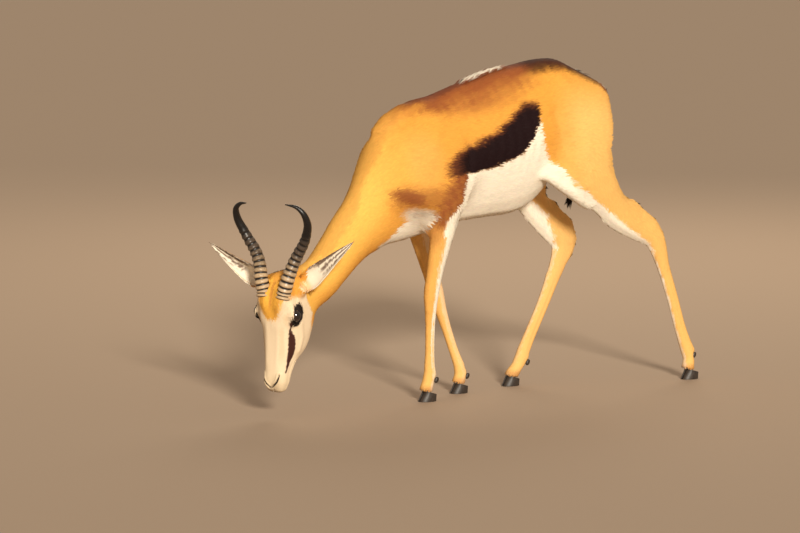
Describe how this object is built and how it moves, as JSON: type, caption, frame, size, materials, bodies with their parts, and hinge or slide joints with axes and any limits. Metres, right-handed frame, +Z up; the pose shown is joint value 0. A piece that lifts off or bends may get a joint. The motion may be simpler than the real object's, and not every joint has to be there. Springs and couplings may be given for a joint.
{
  "type": "springbok",
  "caption": "Springbok ram with ringed lyre-shaped horns, standing with legs spread and its head lowered to drink.",
  "frame": {"origin": "middle of the bounding box at floor level", "axes": "+Z up, the animal faces -X with its left side towards -Y"},
  "size_m": [1.28, 0.317, 0.7868],
  "materials": {
    "coat_tan": "matt",
    "coat_white": "matt",
    "horn": "satin",
    "hoof": "satin",
    "eye": "gloss"
  },
  "bodies": {
    "root": {"torso": "coat_tan", "neck": "coat_tan", "head": "coat_white", "ear_left": "coat_tan", "ear_right": "coat_tan", "eye_left": "eye", "eye_right": "eye", "horn_left": "horn", "horn_right": "horn", "tail": "coat_white", "foreleg_left_upper": "coat_tan", "foreleg_left_cannon": "coat_tan", "foreleg_left_pastern": "coat_white", "foreleg_left_hoof_outer": "hoof", "foreleg_left_dewclaw_outer": "hoof", "foreleg_left_hoof_inner": "hoof", "foreleg_left_dewclaw_inner": "hoof", "foreleg_right_upper": "coat_tan", "foreleg_right_cannon": "coat_tan", "foreleg_right_pastern": "coat_white", "foreleg_right_hoof_outer": "hoof", "foreleg_right_dewclaw_outer": "hoof", "foreleg_right_hoof_inner": "hoof", "foreleg_right_dewclaw_inner": "hoof", "hindleg_left_upper": "coat_tan", "hindleg_left_cannon": "coat_tan", "hindleg_left_pastern": "coat_white", "hindleg_left_hoof_outer": "hoof", "hindleg_left_dewclaw_outer": "hoof", "hindleg_left_hoof_inner": "hoof", "hindleg_left_dewclaw_inner": "hoof", "hindleg_right_upper": "coat_tan", "hindleg_right_cannon": "coat_tan", "hindleg_right_pastern": "coat_white", "hindleg_right_hoof_outer": "hoof", "hindleg_right_dewclaw_outer": "hoof", "hindleg_right_hoof_inner": "hoof", "hindleg_right_dewclaw_inner": "hoof"}
  },
  "joints": []
}
